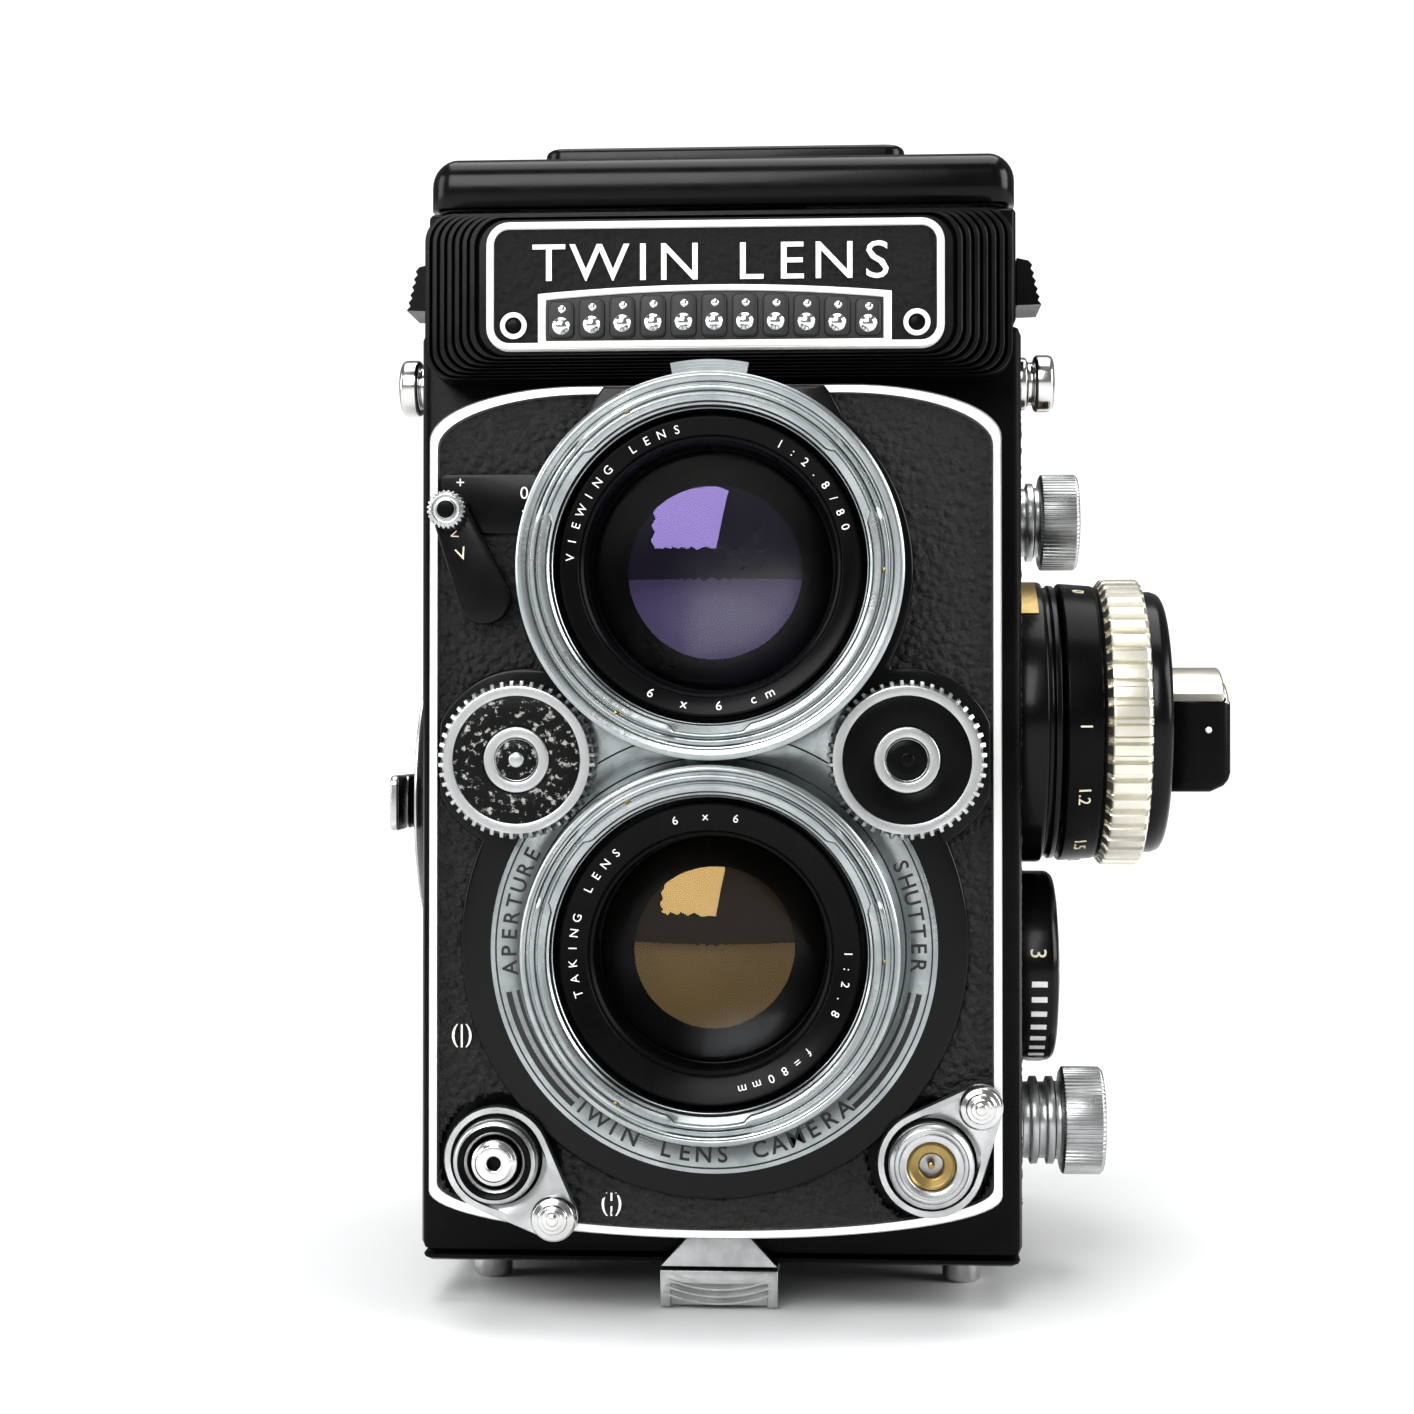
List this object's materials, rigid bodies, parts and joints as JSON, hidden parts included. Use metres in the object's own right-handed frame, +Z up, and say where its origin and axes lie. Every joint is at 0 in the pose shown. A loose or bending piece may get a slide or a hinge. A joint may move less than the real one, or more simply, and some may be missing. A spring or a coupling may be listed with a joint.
{
  "type": "twin lens reflex camera",
  "caption": "Twin lens reflex camera with a folding waist-level hood, a focusing lens panel, side knobs, a winding crank and a hinged back.",
  "frame": {"origin": "on the ground, under the middle of the whole camera's box", "axes": "+Z up, -Y towards the subject (the lens side), +X towards the focusing knob's side"},
  "size_m": [0.103, 0.0958, 0.1376],
  "materials": {
    "black_enamel": "black enamel over a light alloy casting, glossy on the hood",
    "black_metal": "satin black anodised",
    "leather": "pebbled black leather, worn at its edges",
    "chrome": "bright plated",
    "satin_metal": "satin plated, finely brushed",
    "optical_glass": "coated optical glass",
    "mirror": "front-silvered",
    "meter_cells": "clear honeycomb window over a light cell"
  },
  "bodies": {
    "camera_body": {"body_casting": "black_enamel", "film_gate": "black_metal", "mirror": "mirror", "focusing_screen": "optical_glass", "hood_base": "black_enamel", "meter_housing": "black_enamel", "name_plate": "black_metal", "meter_window": "meter_cells", "strap_lug_left": "chrome", "strap_lug_right": "chrome", "crank_plate": "black_enamel", "focus_hub": "black_enamel", "readout_block": "black_metal", "catch_plate": "satin_metal"},
    "lens_panel": {"front_panel": "black_enamel", "panel_leather": "leather", "viewing_bayonet": "chrome", "taking_bayonet": "chrome", "viewing_barrel": "black_metal", "shutter_housing": "black_metal", "viewing_glass": "optical_glass", "taking_glass": "optical_glass", "shutter_blades": "black_metal", "mask_plate": "satin_metal", "release_collar": "chrome", "sync_socket": "chrome"},
    "focus_knob": {"focus_cone": "black_enamel", "focus_ring": "satin_metal"},
    "aperture_wheel": {"aperture_wheel": "satin_metal"},
    "speed_wheel": {"speed_wheel": "satin_metal"},
    "release_button": {"release_button": "chrome"},
    "release_lock": {"release_lock": "satin_metal"},
    "sync_lock": {"sync_lock": "satin_metal"},
    "timer_lever": {"timer_lever": "black_metal"},
    "hood_lid": {"hood_lid": "black_enamel", "finder_plate": "black_enamel"},
    "flap_left": {"flap_left": "black_enamel"},
    "flap_right": {"flap_right": "black_enamel"},
    "flap_rear": {"flap_rear": "black_enamel"},
    "magnifier": {"magnifier_frame": "chrome", "magnifier_glass": "optical_glass"},
    "hood_tab_left": {"hood_tab_left": "black_metal"},
    "hood_tab_right": {"hood_tab_right": "black_metal"},
    "back_cover": {"back_cover": "black_enamel", "pressure_plate": "black_metal", "tripod_socket": "satin_metal", "foot_front_left": "chrome", "foot_front_right": "chrome", "foot_rear_left": "chrome", "foot_rear_right": "chrome"},
    "back_latch": {"back_latch": "satin_metal"},
    "crank_arm": {"crank_arm": "chrome"},
    "crank_handle": {"crank_handle": "chrome"},
    "takeup_spool": {"takeup_spool": "black_metal"},
    "supply_spool": {"supply_spool": "black_metal"},
    "film_roller_upper": {"film_roller_upper": "chrome"},
    "film_roller_lower": {"film_roller_lower": "chrome"},
    "spool_knob_upper": {"spool_knob_upper": "chrome"},
    "spool_knob_lower": {"spool_knob_lower": "chrome"},
    "compensation_dial": {"compensation_dial": "black_metal"}
  },
  "joints": [
    {"name": "panel_slide", "type": "slide", "parent": "camera_body", "child": "lens_panel", "axis": [0, -1, 0], "range_m": [0, 0.0078]},
    {"name": "focus_turn", "type": "hinge", "parent": "camera_body", "child": "focus_knob", "pos_m": [0.0297, -0.0019, 0.068], "axis": [1, 0, 0], "range_deg": [0, 290]},
    {"name": "aperture_turn", "type": "hinge", "parent": "lens_panel", "child": "aperture_wheel", "pos_m": [-0.0316, -0.0373, 0.0637], "axis": [0, -1, 0], "range_deg": [0, 170]},
    {"name": "speed_turn", "type": "hinge", "parent": "lens_panel", "child": "speed_wheel", "pos_m": [0.011, -0.0373, 0.0637], "axis": [0, -1, 0], "range_deg": [0, 250]},
    {"name": "release_press", "type": "slide", "parent": "lens_panel", "child": "release_button", "axis": [0, 1, 0], "range_m": [0, 0.002], "stiffness_N_per_m": 300},
    {"name": "release_lock_turn", "type": "hinge", "parent": "lens_panel", "child": "release_lock", "pos_m": [-0.0343, -0.0393, 0.0193], "axis": [0, -1, 0], "range_deg": [0, 40]},
    {"name": "sync_lock_turn", "type": "hinge", "parent": "lens_panel", "child": "sync_lock", "pos_m": [0.0137, -0.0393, 0.0193], "axis": [0, -1, 0], "range_deg": [0, 40]},
    {"name": "timer_turn", "type": "hinge", "parent": "lens_panel", "child": "timer_lever", "pos_m": [-0.0358, -0.0393, 0.0817], "axis": [0, 1, 0], "range_deg": [0, 35]},
    {"name": "hood_open", "type": "hinge", "parent": "camera_body", "child": "hood_lid", "pos_m": [-0.0103, -0.0233, 0.1292], "axis": [1, 0, 0], "range_deg": [0, 90]},
    {"name": "flap_left_turn", "type": "hinge", "parent": "camera_body", "child": "flap_left", "pos_m": [-0.042, 0.0101, 0.127], "axis": [0, -1, 0], "range_deg": [-2, 95]},
    {"name": "flap_right_turn", "type": "hinge", "parent": "camera_body", "child": "flap_right", "pos_m": [0.0214, 0.0101, 0.127], "axis": [0, 1, 0], "range_deg": [-2, 95]},
    {"name": "flap_rear_turn", "type": "hinge", "parent": "camera_body", "child": "flap_rear", "pos_m": [-0.0103, 0.0375, 0.127], "axis": [-1, 0, 0], "range_deg": [-2, 95]},
    {"name": "magnifier_turn", "type": "hinge", "parent": "hood_lid", "child": "magnifier", "pos_m": [-0.0103, 0.0217, 0.1305], "axis": [1, 0, 0], "range_deg": [-2, 95]},
    {"name": "hood_tab_left_press", "type": "slide", "parent": "camera_body", "child": "hood_tab_left", "axis": [0, 0, -1], "range_m": [0, 0.002], "stiffness_N_per_m": 200},
    {"name": "hood_tab_right_press", "type": "slide", "parent": "camera_body", "child": "hood_tab_right", "axis": [0, 0, -1], "range_m": [0, 0.002], "stiffness_N_per_m": 200},
    {"name": "back_open", "type": "hinge", "parent": "camera_body", "child": "back_cover", "pos_m": [-0.0103, 0.0415, 0.113], "axis": [1, 0, 0], "range_deg": [0, 90]},
    {"name": "latch_turn", "type": "hinge", "parent": "back_cover", "child": "back_latch", "pos_m": [-0.0103, -0.0059, 0.0046], "axis": [1, 0, 0], "range_deg": [0, 60]},
    {"name": "takeup_turn", "type": "hinge", "parent": "camera_body", "child": "takeup_spool", "pos_m": [-0.0103, 0.0286, 0.0956], "axis": [1, 0, 0], "continuous": true},
    {"name": "crank_turn", "type": "hinge", "parent": "camera_body", "child": "crank_arm", "pos_m": [-0.0515, 0.0051, 0.058], "axis": [-1, 0, 0], "continuous": true},
    {"name": "crank_handle_fold", "type": "hinge", "parent": "crank_arm", "child": "crank_handle", "pos_m": [-0.0515, -0.0062, 0.058], "axis": [0, 0, -1], "range_deg": [0, 90]},
    {"name": "supply_turn", "type": "hinge", "parent": "camera_body", "child": "supply_spool", "pos_m": [-0.0103, -0.0039, 0.0186], "axis": [1, 0, 0], "continuous": true},
    {"name": "roller_upper_turn", "type": "hinge", "parent": "camera_body", "child": "film_roller_upper", "pos_m": [-0.0103, 0.0356, 0.0775], "axis": [1, 0, 0], "continuous": true},
    {"name": "roller_lower_turn", "type": "hinge", "parent": "camera_body", "child": "film_roller_lower", "pos_m": [-0.0103, 0.0356, 0.0084], "axis": [1, 0, 0], "continuous": true},
    {"name": "spool_knob_upper_pull", "type": "slide", "parent": "camera_body", "child": "spool_knob_upper", "axis": [1, 0, 0], "range_m": [0, 0.0045], "stiffness_N_per_m": 200},
    {"name": "spool_knob_lower_pull", "type": "slide", "parent": "camera_body", "child": "spool_knob_lower", "axis": [1, 0, 0], "range_m": [0, 0.0045], "stiffness_N_per_m": 200},
    {"name": "compensation_turn", "type": "hinge", "parent": "camera_body", "child": "compensation_dial", "pos_m": [0.0277, -0.0019, 0.0376], "axis": [1, 0, 0], "range_deg": [-60, 60]}
  ],
  "couplings": [
    {"joint": "focus_turn", "follows": "panel_slide", "rad_per_m": 648.89},
    {"joint": "flap_left_turn", "follows": "hood_open", "ratio": 1},
    {"joint": "flap_right_turn", "follows": "hood_open", "ratio": 1},
    {"joint": "flap_rear_turn", "follows": "hood_open", "ratio": 1},
    {"joint": "magnifier_turn", "follows": "hood_open", "ratio": 1},
    {"joint": "crank_turn", "follows": "takeup_turn", "ratio": -1}
  ]
}
